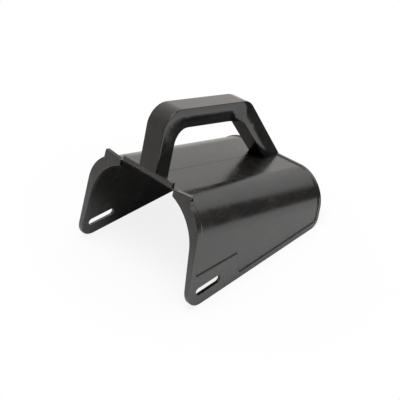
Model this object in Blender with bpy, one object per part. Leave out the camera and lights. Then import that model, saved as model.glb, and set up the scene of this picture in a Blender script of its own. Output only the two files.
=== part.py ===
"""Arched cover hood with a carrying handle on its crown, standing on the lower edges of its two walls.

Metres, +Z up. The pieces are drawn in the crown's own directions (x along the crown from the front edge,
y across it, z off it) and hang from one empty that tips the crown down towards the rear.
"""
import math

import bmesh
import bpy
from mathutils import Matrix, Vector

# Hood
CROWN_TILT = math.radians(15.6)
HOOD_LENGTH = 0.2060
FRONT_DEPTH = 0.1162
CROWN_HALF_FLAT = 0.0431
SHOULDER_RADIUS = 0.0407
WALL_FLARE = math.radians(3.5)
RIM_RAISE = 0.0010
WALL = 0.0030
FRONT_BEAD = 0.0070
REAR_BEAD = 0.0045
LOWER_BEAD = 0.0065
FRONT_TOE_RADIUS = 0.0170
REAR_TOE_RADIUS = 0.0130
PANEL_CORNER_RADIUS = 0.0080
PAD_LENGTH = 0.0805
PAD_HEIGHT_FRONT = 0.0355
PAD_HEIGHT_REAR = 0.0320
PAD_CORNER_RADIUS = 0.0020
PAD_FOOT_RADIUS = 0.0030
SLOT_START = 0.0168
SLOT_LENGTH = 0.0362
SLOT_WIDTH = 0.0084
SLOT_HEIGHT = 0.0160

# Front flange, lip and horns
FLANGE_THICKNESS = 0.0050
FLANGE_RELIEF = 0.0010
MOUTH_HALF_FLAT = 0.0230
MOUTH_RADIUS = 0.0533
MOUTH_FLARE = math.radians(6.8)
LIP_HALF_WIDTH = 0.0370
LIP_THICKNESS = 0.0045
LIP_TOP = 0.0070
LIP_UNDERCUT_TOP = 0.0012
LIP_UNDERCUT_LENGTH = 0.0060
LIP_UNDERCUT_OVERRUN = 0.0030
HORN_INNER = 0.0430
HORN_TIP = 0.0645
HORN_ROOT = 0.0655
HORN_TOP = 0.0036
HORN_INNER_TOP = 0.0014
HORN_ROOT_Z = -0.0075
HORN_FOOT_Z = -0.0140
HORN_FOOT_DRAW = 0.0030
HORN_THICKNESS = 0.0052
PIN_BORE = 0.0030
PIN_BORE_LENGTH = 0.0200

# Handle
HANDLE_HALF_WIDTH = 0.0125
HANDLE_TOP = 0.0743
GRIP_UNDERSIDE = 0.0504
FRONT_LEG_INNER = 0.0244
FRONT_OUTER_RADIUS = 0.0225
FRONT_INNER_RADIUS = 0.0170
REAR_LEG_SLOPE = math.radians(43.0)
REAR_LEG_OVERHANG = 0.0008
REAR_LEG_LENGTH = 0.0316
REAR_OUTER_RADIUS = 0.0300
REAR_INNER_RADIUS = 0.0090
EDGE_SOFT = 0.0010
FRONT_LEG_DRAFT = math.radians(8.0)
FRONT_LEG_ROUND = 0.0015
FRONT_LEG_ROUND_ACROSS = 0.0012
GRIP_ROUND = 0.0135
GRIP_ROUND_ACROSS = 0.0055
REAR_LEG_ROUND = 0.0120
REAR_LEG_ROUND_ACROSS = 0.0012
HANDLE_WALL = 0.0032
FRONT_FOOT_SOLID = 0.0140
BOSS_DIAMETER = 0.0096

# Fixings
CLEARANCE = 0.0003
SCREW_FIT = 0.00015
SIDE_SCREW = 0.0040
SIDE_SCREW_HEAD = 0.0076
SIDE_SCREW_HEAD_HEIGHT = 0.0032
SIDE_SCREW_SINK = 0.0055
SIDE_SCREW_REACH = 0.0150
SIDE_SCREW_TIP_ROOM = 0.0008
FRONT_SIDE_SCREW_Z = 0.0300
CORNER_SIDE_SCREW_X = 0.0150
CORNER_SIDE_SCREW_DROP = 0.0030
GRIP_SIDE_SCREW_SETBACK = 0.0910
REAR_SIDE_SCREW_Z = 0.0280
FOOT_SCREW = 0.0050
FOOT_SCREW_HEAD = 0.0084
FOOT_SCREW_HEAD_HEIGHT = 0.0020
FOOT_SCREW_REACH = 0.0075
FOOT_SCREW_HALF_SPACING = 0.0053
FRONT_FOOT_X = 0.0160
REAR_FOOT_SETBACK = 0.0205
INSERT_DIAMETER = 0.0070
INSERT_LENGTH = 0.0085
WASHER_DIAMETER = 0.0100
WASHER_THICKNESS = 0.0008
DRIVE_ACROSS_FLATS = 0.0030
DRIVE_DEPTH = 0.0014

ARC_STEPS = 14
EDGE_STEPS = 5
ROUND_STEPS = 28
FAR = 0.4000
PAST = 0.0100

REAR_LEG_OUTER = HOOD_LENGTH + REAR_LEG_OVERHANG + (RIM_RAISE + CLEARANCE) / math.tan(REAR_LEG_SLOPE)
GRIP_THICKNESS = HANDLE_TOP - GRIP_UNDERSIDE
REAR_LEG_INNER = REAR_LEG_OUTER - REAR_LEG_LENGTH
REAR_FOOT_X = HOOD_LENGTH - REAR_FOOT_SETBACK
GRIP_SIDE_SCREW_X = HOOD_LENGTH - GRIP_SIDE_SCREW_SETBACK

for old in list(bpy.data.objects):
    bpy.data.objects.remove(old, do_unlink=True)


def plain_material(name, colour, metallic, roughness):
    material = bpy.data.materials.new(name)
    material.use_nodes = True
    shader = material.node_tree.nodes["Principled BSDF"]
    shader.inputs["Base Color"].default_value = (*colour, 1.0)
    shader.inputs["Metallic"].default_value = metallic
    shader.inputs["Roughness"].default_value = roughness
    return material


def arc(centre, radius, start, end, steps=ARC_STEPS):
    angles = [start + (end - start) * k / steps for k in range(steps + 1)]
    return [(centre[0] + radius * math.cos(a), centre[1] + radius * math.sin(a)) for a in angles]


def rounded(corners, radii, steps=8):
    """A polygon whose corners carry these radii; zero leaves a corner sharp."""
    outline = []
    count = len(corners)
    for k, (corner, radius) in enumerate(zip(corners, radii)):
        if radius == 0:
            outline.append(corner)
            continue
        here = Vector(corner)
        back = (Vector(corners[k - 1]) - here).normalized()
        ahead = (Vector(corners[(k + 1) % count]) - here).normalized()
        half = math.acos(max(-1.0, min(1.0, back.dot(ahead)))) / 2
        reach = radius / math.tan(half)
        centre = here + (back + ahead).normalized() * radius / math.sin(half)
        first = here + back * reach - centre
        last = here + ahead * reach - centre
        turn = math.atan2(first.x * last.y - first.y * last.x, first.dot(last))
        begin = math.atan2(first.y, first.x)
        outline += arc(centre, radius, begin, begin + turn, steps)
    return outline


def new_object(name, builder):
    builder.normal_update()
    bmesh.ops.recalc_face_normals(builder, faces=builder.faces)
    mesh = bpy.data.meshes.new(name)
    builder.to_mesh(mesh)
    builder.free()
    piece = bpy.data.objects.new(name, mesh)
    bpy.context.collection.objects.link(piece)
    return piece


def prism(name, outline, axis, low, high):
    """A polygon pushed along one axis. Along x it is read as (y, z), along y as (x, z), along z as (x, y)."""
    places = {"x": lambda p, t: (t, *p), "y": lambda p, t: (p[0], t, p[1]), "z": lambda p, t: (*p, t)}
    place = places[axis]
    builder = bmesh.new()
    ring = [builder.verts.new(place(p, low)) for p in outline]
    face = builder.faces.new(ring)
    pushed = bmesh.ops.extrude_face_region(builder, geom=[face])
    moved = [item for item in pushed["geom"] if isinstance(item, bmesh.types.BMVert)]
    shift = Vector(place((0.0, 0.0), high)) - Vector(place((0.0, 0.0), low))
    bmesh.ops.translate(builder, vec=shift, verts=moved)
    return new_object(name, builder)


def block(name, x, y, z):
    return prism(name, [(x[0], y[0]), (x[1], y[0]), (x[1], y[1]), (x[0], y[1])], "z", z[0], z[1])


def rod(name, diameter, start, end):
    """A round bar between two points."""
    start, end = Vector(start), Vector(end)
    builder = bmesh.new()
    bmesh.ops.create_cone(builder, cap_ends=True, segments=ROUND_STEPS, radius1=diameter / 2,
                          radius2=diameter / 2, depth=(end - start).length)
    turn = Vector((0, 0, 1)).rotation_difference(end - start).to_matrix().to_4x4()
    bmesh.ops.transform(builder, matrix=Matrix.Translation((start + end) / 2) @ turn, verts=builder.verts)
    return new_object(name, builder)


def combine(piece, other, operation):
    """Joins, cuts or keeps the common part, and uses the other shape up."""
    change = piece.modifiers.new(operation.lower(), "BOOLEAN")
    change.object = other
    change.operation = operation
    change.solver = "EXACT"
    bpy.ops.object.select_all(action="DESELECT")
    piece.select_set(True)
    bpy.context.view_layer.objects.active = piece
    bpy.ops.object.modifier_apply(modifier=change.name)
    bpy.data.objects.remove(other, do_unlink=True)
    return piece


def cut(piece, other):
    return combine(piece, other, "DIFFERENCE")


def join(piece, other):
    return combine(piece, other, "UNION")


def low_edge(along, above):
    """A place along the lower edge from its sharp front corner and square above it, as crown x and z."""
    return (along * math.cos(CROWN_TILT) - above * math.sin(CROWN_TILT),
            along * math.sin(CROWN_TILT) + above * math.cos(CROWN_TILT) - FRONT_DEPTH)


def along_at(x, above):
    """How far along the lower edge lies the place at this crown x and this height above the edge."""
    return (x + above * math.sin(CROWN_TILT)) / math.cos(CROWN_TILT)


def arch(half_flat, radius, top, flare, depth):
    """The filled arch, as (y, z): flat crown, round shoulders, walls that spread as they go down."""
    centre = (half_flat, top - radius)
    shoulder = arc(centre, radius, math.pi / 2, flare)
    drop = shoulder[-1][1] + depth
    foot = (shoulder[-1][0] + drop * math.tan(flare), -depth)
    side = shoulder + [foot]
    return side + [(-y, z) for y, z in reversed(side)]


def hood_arch(inset):
    return arch(CROWN_HALF_FLAT, SHOULDER_RADIUS - inset, RIM_RAISE - inset, WALL_FLARE, FRONT_DEPTH + PAST)


def build_hood():
    shell = prism("hood_shell", hood_arch(0.0), "x", -PAST, HOOD_LENGTH + PAST)
    rear_low = low_edge(along_at(HOOD_LENGTH, 0.0), 0.0)
    sides = rounded([(0.0, PAST), (0.0, -FRONT_DEPTH), rear_low, (HOOD_LENGTH, PAST)],
                    [0.0, FRONT_TOE_RADIUS, REAR_TOE_RADIUS, 0.0])
    combine(shell, prism("side_view", sides, "y", -FAR, FAR), "INTERSECT")

    panel_end = HOOD_LENGTH - REAR_BEAD
    panel = rounded([(FRONT_BEAD, PAST),
                     low_edge(along_at(FRONT_BEAD, PAD_HEIGHT_FRONT), PAD_HEIGHT_FRONT),
                     low_edge(PAD_LENGTH, PAD_HEIGHT_REAR),
                     low_edge(PAD_LENGTH, LOWER_BEAD),
                     low_edge(along_at(panel_end, LOWER_BEAD), LOWER_BEAD),
                     (panel_end, PAST)],
                    [0.0, PAD_CORNER_RADIUS, PAD_CORNER_RADIUS, PAD_FOOT_RADIUS, PANEL_CORNER_RADIUS, 0.0])
    skin = prism("panel", panel, "y", -FAR, FAR)
    cut(skin, prism("panel_core", hood_arch(RIM_RAISE), "x", -FAR, FAR))
    cut(shell, skin)

    lip_span = (-LIP_HALF_WIDTH, LIP_HALF_WIDTH)
    join(shell, block("lip", (0.0, LIP_THICKNESS), lip_span, (-WALL, LIP_TOP)))
    for side in (-1, 1):
        horn = [(HORN_INNER, HORN_FOOT_Z), (HORN_INNER, HORN_INNER_TOP), (HORN_TIP, HORN_TOP),
                (HORN_ROOT, HORN_ROOT_Z), (HORN_ROOT - HORN_FOOT_DRAW, HORN_FOOT_Z)]
        join(shell, prism("horn", [(side * y, z) for y, z in horn], "x", 0.0, HORN_THICKNESS))

    inside = hood_arch(RIM_RAISE + WALL)
    cut(shell, prism("interior", inside, "x", FLANGE_THICKNESS, HOOD_LENGTH + PAST))
    mouth = arch(MOUTH_HALF_FLAT, MOUTH_RADIUS, -WALL, MOUTH_FLARE, FRONT_DEPTH + PAST)
    cut(shell, prism("mouth", mouth, "x", -PAST, FLANGE_THICKNESS + FLANGE_RELIEF))

    bore_x = HORN_THICKNESS / 2
    for side in (-1, 1):
        cut(shell, rod("pin_bore", PIN_BORE, (bore_x, side * (HORN_ROOT + PAST), 0.0),
                       (bore_x, side * (HORN_ROOT - PIN_BORE_LENGTH), 0.0)))
    undercut = [(-PAST, -PAST), (-PAST, LIP_UNDERCUT_TOP), (0.0, LIP_UNDERCUT_TOP),
                (LIP_UNDERCUT_LENGTH, -WALL), (LIP_UNDERCUT_LENGTH, -PAST)]
    undercut_end = LIP_HALF_WIDTH + LIP_UNDERCUT_OVERRUN
    cut(shell, prism("undercut", undercut, "y", -undercut_end, undercut_end))

    reach = SLOT_WIDTH / 2
    ends = [low_edge(SLOT_START + reach, SLOT_HEIGHT),
            low_edge(SLOT_START + SLOT_LENGTH - reach, SLOT_HEIGHT)]
    slot = arc(ends[0], reach, CROWN_TILT + math.pi / 2, CROWN_TILT + 1.5 * math.pi)
    slot += arc(ends[1], reach, CROWN_TILT - math.pi / 2, CROWN_TILT + math.pi / 2)
    cut(shell, prism("slots", slot, "y", -FAR, FAR))

    for x, y in foot_places():
        cut(shell, rod("foot_hole", FOOT_SCREW + 2 * CLEARANCE, (x, y, -PAST), (x, y, PAST)))
    return shell


def foot_places():
    return [(x, side * FOOT_SCREW_HALF_SPACING) for x in (FRONT_FOOT_X, REAR_FOOT_X) for side in (-1, 1)]


def handle_path(front, top, front_radius, rear_radius, rear, foot):
    """One side of the handle from above, as (x, z), from the front foot over the grip to the rear foot."""
    corner = rear - top / math.tan(REAR_LEG_SLOPE)
    rear_centre = (corner - rear_radius * math.tan(REAR_LEG_SLOPE / 2), top - rear_radius)
    places = [(front, foot)]
    places += arc((front + front_radius, top - front_radius), front_radius, math.pi, math.pi / 2)
    places += arc(rear_centre, rear_radius, math.pi / 2, math.pi / 2 - REAR_LEG_SLOPE)
    places.append((rear - foot / math.tan(REAR_LEG_SLOPE), foot))
    return places


def section(outer, inner, half_width, draft, outer_edge, inner_edge):
    """Points round one slice: outer face first. Its sides draw in by a draft, and each edge is an elliptic
    round given as (depth, across), whose depth is that on a slice as thick as the grip."""
    outer, inner = Vector((outer[0], 0.0, outer[1])), Vector((inner[0], 0.0, inner[1]))
    thickness = (inner - outer).length
    inward = (inner - outer) / thickness
    points = []
    for side, edge, base, way in ((-1, outer_edge, 0.0, 1), (1, outer_edge, 0.0, 1),
                                  (1, inner_edge, thickness, -1), (-1, inner_edge, thickness, -1)):
        depth = edge[0] * thickness / GRIP_THICKNESS
        quarter = []
        for k in range(EDGE_STEPS + 1):
            angle = math.pi / 2 * k / EDGE_STEPS
            deep = base + way * depth * (1 - math.cos(angle))
            wide = half_width - edge[1] * (1 - math.sin(angle)) - deep * math.tan(draft)
            quarter.append(outer + inward * deep + Vector((0.0, side * wide, 0.0)))
        points += quarter if side * way > 0 else quarter[::-1]
    return points


def between(first, last, share):
    return tuple(a + (b - a) * share for a, b in zip(first, last))


def handle_solid(name, inset, foot):
    """The whole handle, or the hollow inside it when it is drawn in by a wall."""
    slant = inset / math.sin(REAR_LEG_SLOPE)
    outside = handle_path(inset, HANDLE_TOP - inset, FRONT_OUTER_RADIUS - inset,
                          REAR_OUTER_RADIUS - inset, REAR_LEG_OUTER - slant, foot)
    inside = handle_path(FRONT_LEG_INNER - inset, GRIP_UNDERSIDE + inset, FRONT_INNER_RADIUS + inset,
                         REAR_INNER_RADIUS + inset, REAR_LEG_INNER + slant, foot)
    crisp = (EDGE_SOFT, EDGE_SOFT)
    leg_edge = (FRONT_LEG_ROUND, FRONT_LEG_ROUND_ACROSS)
    grip_edge = (GRIP_ROUND, GRIP_ROUND_ACROSS)
    rear_edge = (REAR_LEG_ROUND, REAR_LEG_ROUND_ACROSS)
    builder = bmesh.new()
    rings = []
    for k, (outer, inner) in enumerate(zip(outside, inside)):
        front_share = min(1.0, max(0.0, (k - 1) / ARC_STEPS))
        rear_share = min(1.0, max(0.0, (k - 2 - ARC_STEPS) / ARC_STEPS))
        inner_edge = between(between(leg_edge, grip_edge, front_share), crisp, rear_share)
        outer_edge = between(crisp, rear_edge, rear_share)
        slim = [[max(EDGE_SOFT, reach - inset) for reach in edge] for edge in (outer_edge, inner_edge)]
        draft = FRONT_LEG_DRAFT * (1 - front_share)
        ring = section(outer, inner, HANDLE_HALF_WIDTH - inset, draft, *slim)
        rings.append([builder.verts.new(point) for point in ring])
    for ring, after in zip(rings, rings[1:]):
        for k in range(len(ring)):
            builder.faces.new((ring[k - 1], ring[k], after[k], after[k - 1]))
    builder.faces.new(rings[0])
    builder.faces.new(rings[-1])
    bmesh.ops.triangulate(builder, faces=builder.faces)
    return new_object(name, builder)


def side_screw_places():
    """Where the screws that close the handle cross its middle plane, as crown x and z."""
    middle = (HANDLE_TOP + GRIP_UNDERSIDE) / 2
    leg_middle = (REAR_LEG_OUTER + REAR_LEG_INNER) / 2
    return [(FRONT_LEG_INNER / 2, FRONT_SIDE_SCREW_Z),
            (CORNER_SIDE_SCREW_X, middle - CORNER_SIDE_SCREW_DROP),
            (GRIP_SIDE_SCREW_X, middle),
            (leg_middle - REAR_SIDE_SCREW_Z / math.tan(REAR_LEG_SLOPE), REAR_SIDE_SCREW_Z)]


def build_handle():
    whole = handle_solid("handle", 0.0, CLEARANCE)
    hollow = handle_solid("hollow", HANDLE_WALL, FRONT_FOOT_SOLID)
    reach = HANDLE_HALF_WIDTH - HANDLE_WALL / 2
    for x, z in side_screw_places():
        cut(hollow, rod("boss", BOSS_DIAMETER, (x, -reach, z), (x, reach, z)))
    cut(whole, hollow)

    bead_top = RIM_RAISE + CLEARANCE
    lip_end = LIP_THICKNESS + CLEARANCE
    bead_end = FRONT_BEAD + CLEARANCE
    front_step = [(-PAST, -PAST), (bead_end, -PAST), (bead_end, bead_top), (lip_end, bead_top),
                  (lip_end, LIP_TOP + CLEARANCE), (-PAST, LIP_TOP + CLEARANCE)]
    width = HANDLE_HALF_WIDTH + PAST
    cut(whole, prism("front_step", front_step, "y", -width, width))
    rear_bead = HOOD_LENGTH - REAR_BEAD - CLEARANCE
    cut(whole, block("rear_step", (rear_bead, HOOD_LENGTH + PAST), (-width, width), (-PAST, bead_top)))

    for x, z in side_screw_places():
        tip = HANDLE_HALF_WIDTH - SIDE_SCREW_SINK - SIDE_SCREW_REACH - SIDE_SCREW_TIP_ROOM
        cut(whole, rod("screw_hole", SIDE_SCREW + 2 * SCREW_FIT, (x, tip, z), (x, width, z)))
        seat = HANDLE_HALF_WIDTH - SIDE_SCREW_SINK
        cut(whole, rod("screw_seat", SIDE_SCREW_HEAD + 2 * CLEARANCE, (x, seat, z), (x, width, z)))
    for x, y in foot_places():
        top = 2 * CLEARANCE + INSERT_LENGTH
        cut(whole, rod("insert_hole", INSERT_DIAMETER + 2 * SCREW_FIT, (x, y, -PAST), (x, y, top)))

    halves = []
    for name, side in (("handle_near_half", -1), ("handle_far_half", 1)):
        half = whole.copy()
        half.data = whole.data.copy()
        half.name = name
        bpy.context.collection.objects.link(half)
        spare = sorted((-side * width, side * CLEARANCE / 2))
        halves.append(cut(half, block("other_half", (-PAST, HOOD_LENGTH + PAST), spare,
                                      (-PAST, HANDLE_TOP + PAST))))
    bpy.data.objects.remove(whole, do_unlink=True)
    return halves


def socket_screw(name, head_diameter, head_height, shank_diameter, under_head, way, reach):
    """A round-headed screw with a hexagon socket; it points from the head along `way`."""
    under_head, way = Vector(under_head), Vector(way)
    screw = rod(name, head_diameter, under_head, under_head - way * head_height)
    join(screw, rod("shank", shank_diameter, under_head - way * head_height / 3, under_head + way * reach))
    top = under_head - way * head_height
    builder = bmesh.new()
    radius = DRIVE_ACROSS_FLATS / math.sqrt(3)
    bmesh.ops.create_cone(builder, cap_ends=True, segments=6, radius1=radius, radius2=radius,
                          depth=2 * DRIVE_DEPTH)
    turn = Vector((0, 0, 1)).rotation_difference(way).to_matrix().to_4x4()
    bmesh.ops.transform(builder, matrix=Matrix.Translation(top) @ turn, verts=builder.verts)
    return cut(screw, new_object("socket", builder))


def build_fixings():
    metal = []
    seat = HANDLE_HALF_WIDTH - SIDE_SCREW_SINK + SCREW_FIT
    for label, (x, z) in zip(("front_leg", "front_corner", "grip_end", "rear_leg"), side_screw_places()):
        metal.append(socket_screw(f"side_screw_{label}", SIDE_SCREW_HEAD, SIDE_SCREW_HEAD_HEIGHT, SIDE_SCREW,
                                  (x, seat, z), (0, -1, 0), SIDE_SCREW_REACH))
    washer_top = -WALL - SCREW_FIT
    washer_low = washer_top - WASHER_THICKNESS
    head_top = washer_low - SCREW_FIT
    low = 2 * CLEARANCE
    high = low + INSERT_LENGTH - CLEARANCE
    brass = []
    for (x, y), label in zip(foot_places(), ("front_near", "front_far", "rear_near", "rear_far")):
        metal.append(socket_screw(f"foot_screw_{label}", FOOT_SCREW_HEAD, FOOT_SCREW_HEAD_HEIGHT, FOOT_SCREW,
                                  (x, y, head_top), (0, 0, 1), FOOT_SCREW_REACH - head_top))
        washer = rod(f"foot_washer_{label}", WASHER_DIAMETER, (x, y, washer_low), (x, y, washer_top))
        hole = rod("washer_hole", FOOT_SCREW + 2 * CLEARANCE, (x, y, -PAST), (x, y, PAST))
        metal.append(cut(washer, hole))
        insert = rod(f"threaded_insert_{label}", INSERT_DIAMETER, (x, y, low), (x, y, high))
        bore = rod("insert_bore", FOOT_SCREW + 2 * SCREW_FIT, (x, y, -PAST), (x, y, INSERT_LENGTH + PAST))
        brass.append(cut(insert, bore))
    return metal, brass


def smooth_by_angle(piece):
    bpy.ops.object.select_all(action="DESELECT")
    piece.select_set(True)
    bpy.context.view_layer.objects.active = piece
    bpy.ops.object.shade_smooth_by_angle(angle=math.radians(30))


hood = build_hood()
handle_halves = build_handle()
steel_pieces, brass_pieces = build_fixings()

hood_black = plain_material("hood_black", (0.014, 0.013, 0.013), 0.0, 0.34)
handle_black = plain_material("handle_black", (0.016, 0.015, 0.015), 0.0, 0.32)
screw_steel = plain_material("screw_steel", (0.045, 0.045, 0.048), 1.0, 0.38)
insert_brass = plain_material("insert_brass", (0.72, 0.53, 0.24), 1.0, 0.30)

stand = bpy.data.objects.new("stand", None)
bpy.context.collection.objects.link(stand)
stand.rotation_euler = (0.0, CROWN_TILT, 0.0)
stand.location = (0.0, 0.0, FRONT_DEPTH * math.cos(CROWN_TILT))

dressed = [(hood, hood_black)]
dressed += [(piece, handle_black) for piece in handle_halves]
dressed += [(piece, screw_steel) for piece in steel_pieces]
dressed += [(piece, insert_brass) for piece in brass_pieces]
for piece, material in dressed:
    piece.data.materials.clear()
    piece.data.materials.append(material)
    smooth_by_angle(piece)
    piece.parent = stand

bpy.context.view_layer.update()
ends = (hood, *handle_halves)
reaches = [(piece.matrix_world @ vertex.co).x for piece in ends for vertex in piece.data.vertices]
stand.location.x = -(min(reaches) + max(reaches)) / 2
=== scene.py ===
"""Looks of the arched cover hood: its moulding, its carrying handle, its fixings, their finishes and the studio.

The mouldings are modelled in the crown's own directions (x along the crown from the front edge, y across it,
z off it) and then tipped into place, in metres.
"""
import math

import bmesh
import bpy
from mathutils import Euler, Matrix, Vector


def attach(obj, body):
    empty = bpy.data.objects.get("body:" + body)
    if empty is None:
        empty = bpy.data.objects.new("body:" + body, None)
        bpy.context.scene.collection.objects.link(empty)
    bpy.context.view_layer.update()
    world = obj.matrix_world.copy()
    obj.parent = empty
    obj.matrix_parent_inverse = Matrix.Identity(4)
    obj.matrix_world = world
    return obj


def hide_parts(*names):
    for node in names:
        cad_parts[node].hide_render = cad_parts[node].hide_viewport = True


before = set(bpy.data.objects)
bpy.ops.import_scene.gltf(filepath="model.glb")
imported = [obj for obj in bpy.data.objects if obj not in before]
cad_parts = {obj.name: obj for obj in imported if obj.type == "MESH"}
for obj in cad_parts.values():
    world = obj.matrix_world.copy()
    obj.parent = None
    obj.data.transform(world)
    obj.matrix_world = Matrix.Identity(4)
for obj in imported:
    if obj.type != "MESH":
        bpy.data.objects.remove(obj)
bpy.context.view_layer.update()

# Where the crown sits
CROWN_TILT = math.radians(15.6)
CROWN_ORIGIN = (-0.0868474, 0.0, 0.1119195)

# Hood
HOOD_LENGTH = 0.2060
FRONT_DEPTH = 0.1162
CROWN_HALF_FLAT = 0.0431
SHOULDER_RADIUS = 0.0407
WALL_FLARE = math.radians(3.5)
RIM_RAISE = 0.0010
WALL = 0.0030
FRONT_BEAD = 0.0070
REAR_BEAD = 0.0045
LOWER_BEAD = 0.0065
FRONT_TOE_RADIUS = 0.0176
REAR_TOE_RADIUS = 0.0131
PANEL_CORNER_RADIUS = 0.0080
PAD_LENGTH = 0.0805
PAD_HEIGHT_FRONT = 0.0355
PAD_HEIGHT_REAR = 0.0320
PAD_CORNER_RADIUS = 0.0020
PAD_FOOT_RADIUS = 0.0030
SLOT_START = 0.0168
SLOT_LENGTH = 0.0362
SLOT_WIDTH = 0.0084
SLOT_HEIGHT = 0.0160

# Front flange, lip and horns
FLANGE_THICKNESS = 0.0050
FLANGE_RELIEF = 0.0010
MOUTH_HALF_FLAT = 0.0230
MOUTH_RADIUS = 0.0533
MOUTH_FLARE = math.radians(6.8)
LIP_HALF_WIDTH = 0.0370
LIP_THICKNESS = 0.0045
LIP_TOP = 0.0070
LIP_UNDERCUT_TOP = 0.0022
LIP_UNDERCUT_LENGTH = 0.0060
LIP_UNDERCUT_OVERRUN = 0.0030
HORN_INNER = 0.0430
HORN_TIP = 0.0645
HORN_ROOT = 0.0655
HORN_TOP = 0.0036
HORN_INNER_TOP = 0.0014
HORN_ROOT_Z = -0.0075
HORN_FOOT_Z = -0.0140
HORN_FOOT_DRAW = 0.0030
HORN_THICKNESS = 0.0052
PIN_BORE = 0.0030
PIN_BORE_LENGTH = 0.0200

# Handle
HANDLE_HALF_WIDTH = 0.0125
HANDLE_TOP = 0.0742
HANDLE_WALL = 0.0032
GRIP_UNDERSIDE = 0.0501
FRONT_LEG_INNER = 0.0248
FRONT_OUTER_RADIUS = 0.0225
FRONT_INNER_RADIUS = 0.0170
REAR_LEG_SLOPE = math.radians(43.0)
REAR_LEG_OUTER = 0.2080
REAR_LEG_INNER = 0.1766
REAR_OUTER_RADIUS = 0.0300
REAR_INNER_RADIUS = 0.0090
GRIP_THICKNESS = HANDLE_TOP - GRIP_UNDERSIDE
EDGE_ROUND = 0.0007
PLAIN_EDGE = (0.0014, 0.0)
FRONT_LEG_DRAFT = (0.0220, 0.0047)
GRIP_DRAFT = (0.0150, 0.0060)
REAR_LEG_DRAFT = (0.0120, 0.0018)
REAR_FOOT_DRAFT = (0.0150, 0.0038)
GRIP_DRAFT_ENDS = (-0.0160, 0.0080)
REAR_LEG_DRAFT_STARTS = (-0.0040, 0.0140)
BEND_STEPS = 20
RUN_STEPS = 16
FOOT_SOLID = 0.0140
HALF_JOINT = 0.00004
FOOT_GAP = 0.0001

# Fixings
FIT = 0.0003
SIDE_SCREW = 0.0040
SIDE_SCREW_HEAD = 0.0076
SIDE_SCREW_HEAD_HEIGHT = 0.0032
SIDE_SCREW_SINK = 0.0055
SIDE_SCREW_REACH = 0.0150
SIDE_SCREW_PLACES = {"front_leg": (0.0122, 0.0300), "front_corner": (0.0150, 0.05935),
                     "grip_end": (0.1150, 0.06235), "rear_leg": (0.16237, 0.0280)}
FOOT_SCREW = 0.0050
FOOT_SCREW_HEAD = 0.0084
FOOT_SCREW_HEAD_HEIGHT = 0.0020
FOOT_SCREW_REACH = 0.0116
FOOT_SCREW_SEAT = -0.0041
FOOT_SCREW_PLACES = {"front_near": (0.0160, -0.0053), "front_far": (0.0160, 0.0053),
                     "rear_near": (0.1855, -0.0053), "rear_far": (0.1855, 0.0053)}
DRIVE_ACROSS_FLATS = 0.0030
DRIVE_DEPTH = 0.0014
THREAD_PITCH = 0.0008
THREAD_DEPTH = 0.12

EDGE_SOFT = 0.0004
RAMP_ON_RIM = 0.0008
RAMP_ON_PANEL = 0.0018
MOULDING_LINE_WIDTH = 0.0004
MOULDING_LINE_DEPTH = 0.0002
PAST = 0.0100
FAR = 0.4000


def alone(piece):
    """Leaves one piece selected and active."""
    bpy.ops.object.select_all(action="DESELECT")
    piece.select_set(True)
    bpy.context.view_layer.objects.active = piece


def started(name):
    """Names the primitive that was just added and settles it at the origin."""
    piece = bpy.context.object
    piece.name = name
    alone(piece)
    bpy.ops.object.transform_apply(location=True, rotation=True, scale=True)
    return piece


def shape(piece):
    """Opens a piece in edit mode with nothing selected."""
    alone(piece)
    bpy.ops.object.mode_set(mode="EDIT")
    bpy.ops.mesh.select_all(action="DESELECT")


def done(piece):
    bpy.ops.mesh.select_all(action="SELECT")
    bpy.ops.mesh.normals_make_consistent(inside=False)
    bpy.ops.object.mode_set(mode="OBJECT")
    return piece


def pick(piece, kind, wanted):
    """Selects, in edit mode, the vertices, edges or faces all of whose points pass a test."""
    bpy.ops.mesh.select_mode(type=kind)
    bpy.ops.mesh.select_all(action="DESELECT")
    mesh = bmesh.from_edit_mesh(piece.data)
    for item in {"VERT": mesh.verts, "EDGE": mesh.edges, "FACE": mesh.faces}[kind]:
        points = [item] if kind == "VERT" else item.verts
        item.select_set(all(wanted(point.co) for point in points))
    mesh.select_flush_mode()
    bmesh.update_edit_mesh(piece.data)


def finished_by(piece, kind, **settings):
    """Adds a modifier, sets it and applies it."""
    change = piece.modifiers.new(kind.lower(), kind)
    for name, value in settings.items():
        setattr(change, name, value)
    alone(piece)
    bpy.ops.object.modifier_apply(modifier=change.name)
    return piece


def combine(piece, other, operation):
    finished_by(piece, "BOOLEAN", object=other, operation=operation, solver="EXACT")
    bpy.data.objects.remove(other, do_unlink=True)
    return piece


def cut(piece, other):
    return combine(piece, other, "DIFFERENCE")


def join(piece, other):
    return combine(piece, other, "UNION")


def reach_of(before, corner, after, radius):
    """How far from a corner its round starts, along both edges."""
    back = (Vector(before) - Vector(corner)).normalized()
    ahead = (Vector(after) - Vector(corner)).normalized()
    return radius / math.tan(back.angle(ahead) / 2)


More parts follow.
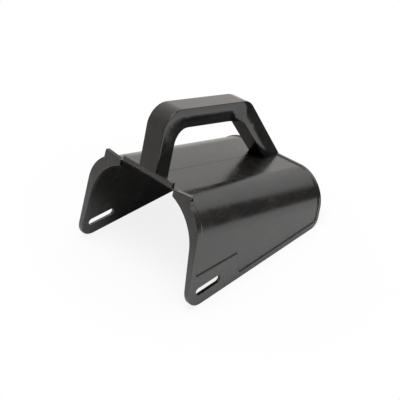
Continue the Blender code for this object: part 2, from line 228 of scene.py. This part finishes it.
def slab(name, corners, rounds, axis, low, high, steps=10):
    """A filled outline with its corners rounded, pushed along one axis; along x it is read as (y, z), and so on."""
    across = {"x": lambda p, t: (t, *p), "y": lambda p, t: (p[0], t, p[1]), "z": lambda p, t: (*p, t)}[axis]
    bpy.ops.mesh.primitive_circle_add(vertices=len(corners), radius=FAR, fill_type="NGON")
    piece = started(name)
    places = [Vector(across(corner, low)) for corner in corners]
    for vertex, place in zip(piece.data.vertices, places):
        vertex.co = place
    shape(piece)
    for k, radius in enumerate(rounds):
        if radius:
            pick(piece, "VERT", lambda co: (co - places[k]).length < 1e-6)
            reach = reach_of(corners[k - 1], corners[k], corners[(k + 1) % len(corners)], radius)
            bpy.ops.mesh.bevel(affect="VERTICES", offset=reach, segments=steps, profile=0.5)
    bpy.ops.mesh.select_mode(type="FACE")
    bpy.ops.mesh.select_all(action="SELECT")
    push = Vector(across((0.0, 0.0), high)) - Vector(across((0.0, 0.0), low))
    bpy.ops.mesh.extrude_region_move(TRANSFORM_OT_translate={"value": push})
    return done(piece)


def block(name, x, y, z):
    return slab(name, [(x[0], y[0]), (x[1], y[0]), (x[1], y[1]), (x[0], y[1])], [0.0] * 4, "z", z[0], z[1])


def rod(name, diameter, start, end, sides=40):
    """A round bar between two points."""
    start, end = Vector(start), Vector(end)
    turn = Vector((0, 0, 1)).rotation_difference(end - start).to_euler()
    bpy.ops.mesh.primitive_cylinder_add(vertices=sides, radius=diameter / 2, depth=(end - start).length,
                                        location=(start + end) / 2, rotation=turn)
    return started(name)


def low_edge(along, above):
    """A place along the lower edge from its sharp front corner and square above it, as crown x and z."""
    return (along * math.cos(CROWN_TILT) - above * math.sin(CROWN_TILT),
            along * math.sin(CROWN_TILT) + above * math.cos(CROWN_TILT) - FRONT_DEPTH)


def along_at(x, above):
    """How far along the lower edge lies the place at this crown x and this height above the edge."""
    return (x + above * math.sin(CROWN_TILT)) / math.cos(CROWN_TILT)


def arch_block(name, half_flat, radius, top, flare, low, high, steps=28):
    """A filled arch: a block whose sides spread as they go down and whose shoulders are rounded over."""
    depth = FRONT_DEPTH + PAST + top
    reach = radius * math.tan((math.pi / 2 - flare) / 2)
    half = half_flat + reach
    bpy.ops.mesh.primitive_cube_add(size=1.0, location=((low + high) / 2, 0.0, top - depth / 2),
                                    scale=(high - low, 2 * half, depth))
    piece = started(name)
    shape(piece)
    pick(piece, "FACE", lambda co: co.z < top - depth / 2)
    bpy.ops.transform.resize(value=(1.0, 1 + depth * math.tan(flare) / half, 1.0))
    for side in (-1, 1):
        pick(piece, "EDGE", lambda co: co.z > top - 1e-6 and side * co.y > half - 1e-6)
        bpy.ops.mesh.bevel(offset=reach, segments=steps, profile=0.5)
    return done(piece)


def hood_arch(name, inset, low, high):
    return arch_block(name, CROWN_HALF_FLAT, SHOULDER_RADIUS - inset, RIM_RAISE - inset, WALL_FLARE, low, high)


def trim_sides(shell):
    """Cuts the arch along its sloping lower edge and rounds its toes."""
    shape(shell)
    bpy.ops.mesh.select_all(action="SELECT")
    down = (math.sin(CROWN_TILT), 0.0, -math.cos(CROWN_TILT))
    bpy.ops.mesh.bisect(plane_co=(0.0, 0.0, -FRONT_DEPTH), plane_no=down, clear_outer=True, use_fill=True)
    front = (0.0, -FRONT_DEPTH)
    rear = low_edge(along_at(HOOD_LENGTH, 0.0), 0.0)
    for corner, beyond, other, radius in ((front, (0.0, 0.0), rear, FRONT_TOE_RADIUS),
                                          (rear, (HOOD_LENGTH, 0.0), front, REAR_TOE_RADIUS)):
        pick(shell, "EDGE", lambda co: abs(co.x - corner[0]) < 1e-5 and abs(co.z - corner[1]) < 1e-5)
        bpy.ops.mesh.bevel(offset=reach_of(beyond, corner, other, radius), segments=14, profile=0.5)
    return done(shell)


def sink_panel(shell):
    """Lowers the skin inside the rims and around the slot pads."""
    end = HOOD_LENGTH - REAR_BEAD
    corners = [(FRONT_BEAD, PAST),
               low_edge(along_at(FRONT_BEAD, PAD_HEIGHT_FRONT), PAD_HEIGHT_FRONT),
               low_edge(PAD_LENGTH, PAD_HEIGHT_REAR),
               low_edge(PAD_LENGTH, LOWER_BEAD),
               low_edge(along_at(end, LOWER_BEAD), LOWER_BEAD),
               (end, PAST)]
    rounds = [0.0, PAD_CORNER_RADIUS, PAD_CORNER_RADIUS, PAD_FOOT_RADIUS, PANEL_CORNER_RADIUS, 0.0]
    skin = slab("panel_skin", corners, rounds, "y", -FAR, FAR)
    cut(skin, hood_arch("panel_core", RIM_RAISE, -PAST, HOOD_LENGTH + PAST))
    return cut(shell, skin)


def raise_lip(shell):
    """Adds the lip over the front edge and the horn at each of its ends."""
    join(shell, block("lip", (0.0, LIP_THICKNESS), (-LIP_HALF_WIDTH, LIP_HALF_WIDTH), (-WALL, LIP_TOP)))
    horn = [(HORN_INNER, HORN_FOOT_Z), (HORN_INNER, HORN_INNER_TOP), (HORN_TIP, HORN_TOP),
            (HORN_ROOT, HORN_ROOT_Z), (HORN_ROOT - HORN_FOOT_DRAW, HORN_FOOT_Z)]
    for side in (-1, 1):
        join(shell, slab("horn", [(side * y, z) for y, z in horn], [0.0] * 5, "x", 0.0, HORN_THICKNESS))
    return shell


def open_inside(shell):
    """Hollows the arch behind the front flange and cuts the flange's mouth."""
    cut(shell, hood_arch("interior", RIM_RAISE + WALL, FLANGE_THICKNESS, HOOD_LENGTH + PAST))
    return cut(shell, arch_block("mouth", MOUTH_HALF_FLAT, MOUTH_RADIUS, -WALL, MOUTH_FLARE, -PAST,
                                 FLANGE_THICKNESS + FLANGE_RELIEF))


def undercut_lip(shell):
    """Bores the horns' ends and undercuts the lip."""
    bore = HORN_THICKNESS / 2
    for side in (-1, 1):
        cut(shell, rod("pin_bore", PIN_BORE, (bore, side * (HORN_ROOT + PAST), 0.0),
                       (bore, side * (HORN_ROOT - PIN_BORE_LENGTH), 0.0), sides=20))
    undercut = [(-PAST, -PAST), (-PAST, LIP_UNDERCUT_TOP), (0.0, LIP_UNDERCUT_TOP),
                (LIP_UNDERCUT_LENGTH, -WALL), (LIP_UNDERCUT_LENGTH, -PAST)]
    half = LIP_HALF_WIDTH + LIP_UNDERCUT_OVERRUN
    return cut(shell, slab("undercut", undercut, [0.0] * 5, "y", -half, half))


def cut_slots(shell):
    half = SLOT_WIDTH / 2
    corners = [low_edge(SLOT_START + along, SLOT_HEIGHT + above)
               for along, above in ((0.0, -half), (SLOT_LENGTH, -half), (SLOT_LENGTH, half), (0.0, half))]
    return cut(shell, slab("slots", corners, [0.999 * half] * 4, "y", -FAR, FAR))


def model_hood():
    shell = hood_arch("hood_moulding", 0.0, 0.0, HOOD_LENGTH)
    trim_sides(shell)
    sink_panel(shell)
    raise_lip(shell)
    open_inside(shell)
    undercut_lip(shell)
    cut_slots(shell)
    finished_by(shell, "BEVEL", width=EDGE_SOFT, segments=3, limit_method="ANGLE",
                angle_limit=math.radians(32), use_clamp_overlap=False)
    half = MOULDING_LINE_WIDTH / 2
    return cut(shell, block("moulding_line", (FRONT_LEG_INNER, REAR_LEG_INNER), (-half, half),
                            (-MOULDING_LINE_DEPTH, PAST)))


def blend(first, last, share):
    return tuple(a + (b - a) * share for a, b in zip(first, last))


def bow(front, top, front_radius, rear_radius, rear, foot):
    """One side of the handle as (x, z): up the front leg, along the grip and down the sloping rear leg."""
    corner = rear - top / math.tan(REAR_LEG_SLOPE)
    rear_centre = (corner - rear_radius * math.tan(REAR_LEG_SLOPE / 2), top - rear_radius)
    bends = ((front + front_radius, top - front_radius), front_radius, math.pi, math.pi / 2), \
            (rear_centre, rear_radius, math.pi / 2, math.pi / 2 - REAR_LEG_SLOPE)
    foot_end = rear - foot / math.tan(REAR_LEG_SLOPE)
    places = [(front, foot)]
    for (centre, radius, begin, end), run in zip(bends, ((rear_centre[0], top), (foot_end, foot))):
        angles = [begin + (end - begin) * k / BEND_STEPS for k in range(BEND_STEPS + 1)]
        places += [(centre[0] + radius * math.cos(a), centre[1] + radius * math.sin(a)) for a in angles]
        bent = places[-1]
        places += [blend(bent, run, k / RUN_STEPS) for k in range(1, RUN_STEPS)]
    return places + [(foot_end, foot)]


def handle_section(outer, inner, half_width, outer_draft, inner_draft, steps=5):
    """The points round one slice of the handle. Beside each face its sides draw in over (depth, across), the depth
    being that on a slice as thick as the grip, and the edge itself is rounded."""
    outer, inner = Vector((outer[0], 0.0, outer[1])), Vector((inner[0], 0.0, inner[1]))
    thickness = (inner - outer).length
    inward = (inner - outer) / thickness
    points = []
    for side, draft, base, way in ((-1, outer_draft, 0.0, 1), (1, outer_draft, 0.0, 1),
                                   (1, inner_draft, thickness, -1), (-1, inner_draft, thickness, -1)):
        drawn = Vector((draft[0] * thickness / GRIP_THICKNESS, draft[1]))
        corner = Vector((0.0, half_width - draft[1]))
        ends = corner - Vector((0.0, EDGE_ROUND)), corner + drawn.normalized() * EDGE_ROUND
        edge = []
        for k in range(steps + 1):
            part = k / steps
            edge.append(ends[0] * (1 - part) ** 2 + corner * 2 * part * (1 - part) + ends[1] * part ** 2)
        edge.append(corner + drawn)
        edge = [outer + inward * (base + way * deep) + Vector((0.0, side * wide, 0.0)) for deep, wide in edge]
        points += edge if side * way > 0 else edge[::-1]
    return points


def eased(value, first, last):
    """0 up to one value, 1 from the other on, a smooth step in the middle."""
    part = min(1.0, max(0.0, (value - first) / (last - first)))
    return part * part * (3 - 2 * part)


def handle_sections(inset, foot):
    """The slices of the handle, or of the hollow inside it when they are drawn in by its wall."""
    slant = inset / math.sin(REAR_LEG_SLOPE)
    outside = bow(inset, HANDLE_TOP - inset, FRONT_OUTER_RADIUS - inset, REAR_OUTER_RADIUS - inset,
                  REAR_LEG_OUTER - slant, foot)
    inside = bow(FRONT_LEG_INNER - inset, GRIP_UNDERSIDE + inset, FRONT_INNER_RADIUS + inset,
                 REAR_INNER_RADIUS + inset, REAR_LEG_INNER + slant, foot)
    middle = [(Vector(outer) + Vector(inner)) / 2 for outer, inner in zip(outside, inside)]
    run = [0.0]
    for before, after in zip(middle, middle[1:]):
        run.append(run[-1] + (after - before).length)
    grip = 1 + BEND_STEPS
    rear_bend = grip + RUN_STEPS
    slices = []
    for outer, inner, length in zip(outside, inside, run):
        past_grip = length - run[rear_bend]
        inner_draft = blend(FRONT_LEG_DRAFT, GRIP_DRAFT, eased(length, run[1], run[grip]))
        inner_draft = blend(inner_draft, PLAIN_EDGE, eased(past_grip, *GRIP_DRAFT_ENDS))
        down_leg = max(0.0, past_grip) / (run[-1] - run[rear_bend])
        outer_draft = blend(PLAIN_EDGE, blend(REAR_LEG_DRAFT, REAR_FOOT_DRAFT, down_leg),
                            eased(past_grip, *REAR_LEG_DRAFT_STARTS))
        slices.append(handle_section(outer, inner, HANDLE_HALF_WIDTH - inset, outer_draft, inner_draft))
    return slices


def loft(name, slices):
    """A filled ring extruded from slice to slice."""
    bpy.ops.mesh.primitive_circle_add(vertices=len(slices[0]), radius=FAR, fill_type="NGON")
    piece = started(name)
    for vertex, place in zip(piece.data.vertices, slices[0]):
        vertex.co = place
    shape(piece)
    bpy.ops.mesh.select_mode(type="FACE")
    bpy.ops.mesh.select_all(action="SELECT")
    for before, after in zip(slices, slices[1:]):
        bpy.ops.mesh.extrude_region_move()
        mesh = bmesh.from_edit_mesh(piece.data)
        for vertex in [vertex for vertex in mesh.verts if vertex.select]:
            vertex.co = after[min(range(len(before)), key=lambda k: (before[k] - vertex.co).length)]
        bmesh.update_edit_mesh(piece.data)
    bpy.ops.mesh.select_all(action="SELECT")
    bpy.ops.mesh.quads_convert_to_tris()
    return done(piece)


def model_handle():
    """The hollow handle, stepped over the front lip and the rims, with seats for its screws, in two halves."""
    whole = loft("handle", handle_sections(0.0, FOOT_GAP))
    cut(whole, loft("hollow", handle_sections(HANDLE_WALL, FOOT_SOLID)))
    bead_top = RIM_RAISE + FOOT_GAP
    lip_end = LIP_THICKNESS + FOOT_GAP
    bead_end = FRONT_BEAD + FOOT_GAP
    step = [(-PAST, -PAST), (bead_end, -PAST), (bead_end, bead_top), (lip_end, bead_top),
            (lip_end, LIP_TOP + FOOT_GAP), (-PAST, LIP_TOP + FOOT_GAP)]
    wide = HANDLE_HALF_WIDTH + PAST
    cut(whole, slab("front_step", step, [0.0] * 6, "y", -wide, wide))
    cut(whole, block("rear_step", (HOOD_LENGTH - REAR_BEAD - FOOT_GAP, HOOD_LENGTH + PAST), (-wide, wide),
                     (-PAST, bead_top)))
    seat = HANDLE_HALF_WIDTH - SIDE_SCREW_SINK
    for x, z in SIDE_SCREW_PLACES.values():
        cut(whole, rod("screw_seat", SIDE_SCREW_HEAD + 2 * FIT, (x, seat, z), (x, wide, z)))
    halves = []
    for name, side in (("handle_near_moulding", -1), ("handle_far_moulding", 1)):
        half = whole.copy()
        half.data = whole.data.copy()
        half.name = name
        bpy.context.collection.objects.link(half)
        spare = sorted((-side * wide, side * HALF_JOINT / 2))
        halves.append(cut(half, block("other_half", (-PAST, HOOD_LENGTH + PAST), spare, (-PAST, HANDLE_TOP + PAST))))
    bpy.data.objects.remove(whole, do_unlink=True)
    return halves


def model_screw(name, head, head_height, shank, reach):
    """A round-headed socket screw standing on its point, the underside of its head at z = 0."""
    bpy.ops.mesh.primitive_cylinder_add(vertices=36, radius=head / 2, depth=head_height,
                                        location=(0.0, 0.0, head_height / 2))
    screw = started(name)
    shape(screw)
    pick(screw, "EDGE", lambda co: co.z > head_height - 1e-6)
    bpy.ops.mesh.bevel(offset=head_height / 6, segments=3)
    pick(screw, "FACE", lambda co: co.z < 1e-6)
    bpy.ops.mesh.inset(thickness=(head - shank) / 2)
    for _ in range(int(reach / THREAD_PITCH)):
        for narrower in (1 - THREAD_DEPTH, 1 / (1 - THREAD_DEPTH)):
            bpy.ops.mesh.extrude_region_move(TRANSFORM_OT_translate={"value": (0.0, 0.0, -THREAD_PITCH / 2)})
            bpy.ops.transform.resize(value=(narrower, narrower, 1.0))
    done(screw)
    return cut(screw, rod("drive", DRIVE_ACROSS_FLATS * 2 / math.sqrt(3), (0.0, 0.0, head_height - DRIVE_DEPTH),
                          (0.0, 0.0, head_height + PAST), sides=6))


def placed(model, name, under_head, way):
    """A copy of a screw with its own mesh, its head at a place and its point along a direction."""
    screw = model.copy()
    screw.data = model.data.copy()
    screw.name = name
    bpy.context.collection.objects.link(screw)
    alone(screw)
    screw.rotation_euler = Vector((0, 0, -1)).rotation_difference(Vector(way)).to_euler()
    screw.location = under_head
    bpy.ops.object.transform_apply(location=True, rotation=True, scale=True)
    return screw


def model_screws():
    """All the screws by the node that each stands for."""
    side = model_screw("side_screw", SIDE_SCREW_HEAD, SIDE_SCREW_HEAD_HEIGHT, SIDE_SCREW, SIDE_SCREW_REACH)
    foot = model_screw("foot_screw", FOOT_SCREW_HEAD, FOOT_SCREW_HEAD_HEIGHT, FOOT_SCREW, FOOT_SCREW_REACH)
    seat = HANDLE_HALF_WIDTH - SIDE_SCREW_SINK + FIT / 2
    screws = {}
    for label, (x, z) in SIDE_SCREW_PLACES.items():
        screws[f"side_screw_{label}"] = placed(side, f"side_screw_{label}_turned", (x, seat, z), (0, -1, 0))
    for label, (x, y) in FOOT_SCREW_PLACES.items():
        screws[f"foot_screw_{label}"] = placed(foot, f"foot_screw_{label}_turned", (x, y, FOOT_SCREW_SEAT), (0, 0, 1))
    for model in (side, foot):
        bpy.data.objects.remove(model, do_unlink=True)
    return screws


def smooth(piece, degrees=32):
    alone(piece)
    bpy.ops.object.shade_smooth_by_angle(angle=math.radians(degrees))
    return finished_by(piece, "WEIGHTED_NORMAL", keep_sharp=True, weight=80)


def tip(piece):
    """Turns a piece from the crown's directions into its place."""
    alone(piece)
    piece.rotation_euler = (0.0, CROWN_TILT, 0.0)
    piece.location = CROWN_ORIGIN
    bpy.ops.object.transform_apply(location=True, rotation=True, scale=True)
    return piece


def dress(piece, node):
    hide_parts(node)
    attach(piece, "root")


class Field:
    """A socket of a node tree. Arithmetic on it adds Math nodes."""

    def __init__(self, tree, socket=None):
        self.tree = tree
        self.socket = socket

    def node(self, kind, settings=None, inputs=None, output=0):
        """Any other node: its settings first, then the values or links of its sockets."""
        made = self.tree.nodes.new("ShaderNode" + kind)
        for name, value in (settings or {}).items():
            if name == "stops":
                for stop, (position, colour) in zip(made.color_ramp.elements, value):
                    stop.position, stop.color = position, colour
            else:
                setattr(made, name, value)
        for name, value in (inputs or {}).items():
            if isinstance(value, Field):
                self.tree.links.new(value.socket, made.inputs[name])
            else:
                made.inputs[name].default_value = value
        return Field(self.tree, made.outputs[output])

    def maths(self, operation, first, second):
        return self.node("Math", {"operation": operation}, {0: first, 1: second})

    def __add__(self, other):
        return self.maths("ADD", self, other)

    def __radd__(self, other):
        return self.maths("ADD", other, self)

    def __sub__(self, other):
        return self.maths("SUBTRACT", self, other)

    def __rsub__(self, other):
        return self.maths("SUBTRACT", other, self)

    def __mul__(self, other):
        return self.maths("MULTIPLY", self, other)

    def __rmul__(self, other):
        return self.maths("MULTIPLY", other, self)

    def between(self, low, high):
        """0 below one value, 1 above the other, a smooth step in the middle."""
        return self.node("MapRange", {"interpolation_type": "SMOOTHSTEP"},
                         {"Value": self, "From Min": low, "From Max": high})


def new_material(name):
    material = bpy.data.materials.new(name)
    material.use_nodes = True
    tree = material.node_tree
    return material, tree, tree.nodes["Principled BSDF"], Field(tree)


def noise(field, where, scale, detail=3.0, rough=0.55):
    return field.node("TexNoise", {}, {"Vector": where, "Scale": scale, "Detail": detail, "Roughness": rough})


def soft_rims(field, place):
    """1 on the rims and the slot pads and 0 on the panel, with a soft ramp between them, on the outside only."""
    def inside(value, limit):
        return 1 - (value - limit).between(-RAMP_ON_RIM, RAMP_ON_PANEL)

    turn = Euler((0.0, -CROWN_TILT, 0.0))
    start = -(turn.to_matrix() @ Vector(CROWN_ORIGIN))
    crown = field.node("Mapping", {}, {"Vector": place, "Location": start, "Rotation": turn})
    x = field.node("SeparateXYZ", {}, {0: crown})
    along = field.node("SeparateXYZ", {}, {0: place}) - (CROWN_ORIGIN[0] - FRONT_DEPTH * math.sin(CROWN_TILT))
    above = field.node("SeparateXYZ", {}, {0: place}, output=2)
    pad_start = along_at(FRONT_BEAD, PAD_HEIGHT_FRONT)
    pad_slope = (PAD_HEIGHT_REAR - PAD_HEIGHT_FRONT) / (PAD_LENGTH - pad_start)
    front = inside(x, FRONT_BEAD)
    rear = inside(HOOD_LENGTH - x, REAR_BEAD)
    lower = inside(above, LOWER_BEAD)
    pad = inside(along, PAD_LENGTH) * inside(above - pad_slope * (along - pad_start), PAD_HEIGHT_FRONT)
    rims = 1 - (1 - front) * (1 - rear) * (1 - lower) * (1 - pad)
    off_axis = field.node("VectorMath", {"operation": "MULTIPLY"}, {0: place, 1: (0.0, 1.0, 1.0)})
    outward = field.node("VectorMath", {"operation": "DOT_PRODUCT"},
                         {0: off_axis, 1: field.node("NewGeometry", output=1)}, output=1)
    return rims * outward.between(-0.01, 0.01)


def moulded_black(name, seed, gloss, shine, dark, light, rims=False):
    """Black moulded plastic: fine grain, flow streaks along the crown, dull patches and a little dust."""
    material, tree, shader, field = new_material(name)
    place = field.node("TexCoord", output=3)
    laid = field.node("Mapping", {}, {"Vector": place, "Location": (seed, seed, 0.0),
                                      "Rotation": (0.0, -CROWN_TILT, 0.0), "Scale": (0.07, 1.0, 1.0)})
    streak = noise(field, laid, 420.0, 4.0).between(0.35, 0.75)
    patch = noise(field, place, 34.0, 4.0, 0.62).between(0.38, 0.72)
    grain = noise(field, place, 1900.0, 2.0)
    speck = noise(field, place, 900.0, 1.0).between(0.72, 0.80)
    tone = 0.40 * streak + 0.50 * patch + 0.10 * speck
    colour = field.node("Mix", {"data_type": "RGBA"}, {0: tone, 6: (*dark, 1.0), 7: (*light, 1.0)}, output=2)
    rough = gloss + 0.05 * streak + 0.07 * patch + 0.03 * speck - 0.06
    relief = {}
    if rims:
        relief["Normal"] = field.node("Bump", {}, {"Strength": 1.0, "Distance": RIM_RAISE,
                                                   "Height": soft_rims(field, place)})
    bump = field.node("Bump", {}, {"Strength": 0.02, "Distance": 0.0001, "Height": grain, **relief})
    tree.links.new(colour.socket, shader.inputs["Base Color"])
    tree.links.new(rough.socket, shader.inputs["Roughness"])
    tree.links.new(bump.socket, shader.inputs["Normal"])
    shader.inputs["Specular IOR Level"].default_value = shine
    return material


def turned_metal(name, dark, light, gloss):
    """Turned metal: fine mottled tone with a little tarnish."""
    material, tree, shader, field = new_material(name)
    place = field.node("TexCoord", output=3)
    tarnish = noise(field, place, 420.0)
    scratch = noise(field, place, 2600.0, 2.0)
    colour = field.node("Mix", {"data_type": "RGBA"}, {0: 0.7 * tarnish + 0.3 * scratch, 6: (*dark, 1.0),
                                                      7: (*light, 1.0)}, output=2)
    rough = gloss + 0.20 * tarnish
    bump = field.node("Bump", {}, {"Strength": 0.10, "Distance": 0.0001, "Height": scratch})
    tree.links.new(colour.socket, shader.inputs["Base Color"])
    tree.links.new(rough.socket, shader.inputs["Roughness"])
    tree.links.new(bump.socket, shader.inputs["Normal"])
    shader.inputs["Metallic"].default_value = 1.0
    return material


def wear(piece, material):
    piece.data.materials.clear()
    piece.data.materials.append(material)


hood_black = moulded_black("hood_black_moulded", 0.3, 0.26, 1.0, (0.009, 0.0086, 0.0082),
                           (0.034, 0.0320, 0.0305), rims=True)
handle_black = moulded_black("handle_black_moulded", 1.7, 0.16, 0.78, (0.003, 0.0029, 0.0028),
                             (0.030, 0.0275, 0.0260))
black_steel = turned_metal("black_oxide_steel", (0.030, 0.030, 0.032), (0.085, 0.085, 0.090), 0.32)
insert_brass = turned_metal("turned_brass", (0.52, 0.34, 0.12), (0.78, 0.58, 0.27), 0.22)

hood = smooth(tip(model_hood()))
wear(hood, hood_black)
dress(hood, "hood_shell")
for half, node in zip(model_handle(), ("handle_near_half", "handle_far_half")):
    smooth(tip(half))
    wear(half, handle_black)
    dress(half, node)
for node, screw in model_screws().items():
    smooth(tip(screw))
    wear(screw, black_steel)
    dress(screw, node)
for node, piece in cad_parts.items():
    if node.startswith("foot_washer"):
        piece.material_slots[0].material = black_steel
    elif node.startswith("threaded_insert"):
        piece.material_slots[0].material = insert_brass

# Camera
CAMERA_PLACE = Vector((-0.61536, -0.60599, 0.62906))
camera = bpy.data.objects.new("camera", bpy.data.cameras.new("camera"))
bpy.context.collection.objects.link(camera)
camera.data.sensor_width = 36.0
camera.data.lens = 84.15
camera.data.shift_x = 0.0169
camera.data.shift_y = -0.0415
ahead = Vector((0.58613, 0.59593, -0.54893))
camera.location = CAMERA_PLACE
camera.rotation_euler = ahead.to_track_quat("-Z", "Y").to_euler()
bpy.context.scene.camera = camera

# Studio
TABLE_CORNERS = ((-0.32, -0.45), (0.33, -0.45), (0.33, -0.26), (0.205, -0.09), (0.205, 0.45), (-0.32, 0.45))
FLOOR_DROP = 0.0002
BACKGROUND_END = math.radians(38.0)
HORIZON_END = math.radians(10.0)


def white_floor():
    """A white table top that melts into the white around it and keeps the object's shadow."""
    bpy.ops.mesh.primitive_circle_add(vertices=len(TABLE_CORNERS), radius=FAR, fill_type="NGON")
    floor = started("white_table")
    for vertex, corner in zip(floor.data.vertices, TABLE_CORNERS):
        vertex.co = (*corner, -FLOOR_DROP)
    material, tree, shader, field = new_material("white_table_top")
    place = field.node("Mapping", {}, {"Vector": field.node("TexCoord", output=3), "Scale": (1.35, 1.0, 1.0)})
    away = field.node("VectorMath", {"operation": "LENGTH"}, {0: place}, output=1)
    camera_ray = field.node("LightPath", output=0)
    glossy_ray = field.node("LightPath", output=3)
    clear_ray = field.node("LightPath", output=6)
    below = field.node("NewGeometry", output=6)
    edge = away.between(0.15, 0.31)
    lit = camera_ray * (0.85 + 0.15 * edge) + (glossy_ray + clear_ray) * (1 - camera_ray) * 0.25 * edge
    shader.inputs["Base Color"].default_value = (0.93, 0.93, 0.93, 1.0)
    shader.inputs["Roughness"].default_value = 0.9
    shader.inputs["Specular IOR Level"].default_value = 0.0
    white = field.node("Emission", {}, {"Color": (1.0, 1.0, 1.0, 1.0), "Strength": 1.0})
    table = Field(tree, shader.outputs[0])
    top = field.node("MixShader", {}, {0: lit, 1: table, 2: white})
    seen = field.node("MixShader", {}, {0: below, 1: top, 2: field.node("BsdfTransparent")})
    tree.links.new(seen.socket, tree.nodes["Material Output"].inputs["Surface"])
    wear(floor, material)


def facing(field, way, end):
    """How far a direction lies to the left of a heading, seen from above."""
    return field.node("VectorMath", {"operation": "DOT_PRODUCT"},
                      {0: way, 1: (-math.sin(end), math.cos(end), 0.0)}, output=1)


def white_around():
    """White where the camera looks past the table, and so in what the object reflects from there; a dim room else."""
    world = bpy.data.worlds.new("studio")
    bpy.context.scene.world = world
    world.use_nodes = True
    tree = world.node_tree
    field = Field(tree)
    camera_ray = field.node("LightPath", output=0)
    glossy_ray = field.node("LightPath", output=3)
    clear_ray = field.node("LightPath", output=6)
    soft_ray = field.node("LightPath", output=2)
    way = field.node("TexCoord", output=0)
    behind = facing(field, way, BACKGROUND_END).between(-0.08, 0.08)
    along = field.node("SeparateXYZ", {}, {0: way}, output=0)
    up = field.node("SeparateXYZ", {}, {0: way}, output=2)
    low = facing(field, way, HORIZON_END).between(-0.06, 0.06) * (1 - up.between(0.14, 0.20))
    reflected = (1 - (1 - behind) * (1 - low)) * (0.73 + 0.31 * along)
    white = (camera_ray + clear_ray + glossy_ray * reflected).between(0.0, 1.0)
    strength = 0.10 + 0.90 * white + 0.15 * soft_ray
    colour = field.node("Mix", {"data_type": "RGBA"}, {0: camera_ray, 6: (1.0, 0.965, 0.93, 1.0),
                                                      7: (1.0, 1.0, 1.0, 1.0)}, output=2)
    tree.links.new(strength.socket, tree.nodes["Background"].inputs["Strength"])
    tree.links.new(colour.socket, tree.nodes["Background"].inputs["Color"])


def softbox(name, place, target, width, height, radiance, colour=(1.0, 1.0, 1.0)):
    lamp = bpy.data.lights.new(name, "AREA")
    lamp.shape = "RECTANGLE"
    lamp.size, lamp.size_y = width, height
    lamp.energy = radiance * 4 * width * height
    lamp.color = colour
    box = bpy.data.objects.new(name, lamp)
    bpy.context.collection.objects.link(box)
    box.location = place
    box.rotation_euler = (Vector(target) - Vector(place)).to_track_quat("-Z", "Y").to_euler()
    box.visible_camera = False


white_floor()
white_around()
softbox("right_softbox", (0.95, 0.05, 0.77), (0.0, 0.0, 0.08), 1.25, 0.92, 0.64)
softbox("right_softbox_fade", (1.145, 0.06, 0.315), (0.0, 0.0, 0.08), 1.30, 0.13, 0.30)
softbox("top_softbox", (-0.15, -0.10, 1.50), (0.0, 0.0, 0.0), 1.0, 1.0, 4.5)

bpy.context.scene.view_settings.view_transform = "Standard"

bpy.context.view_layer.update()
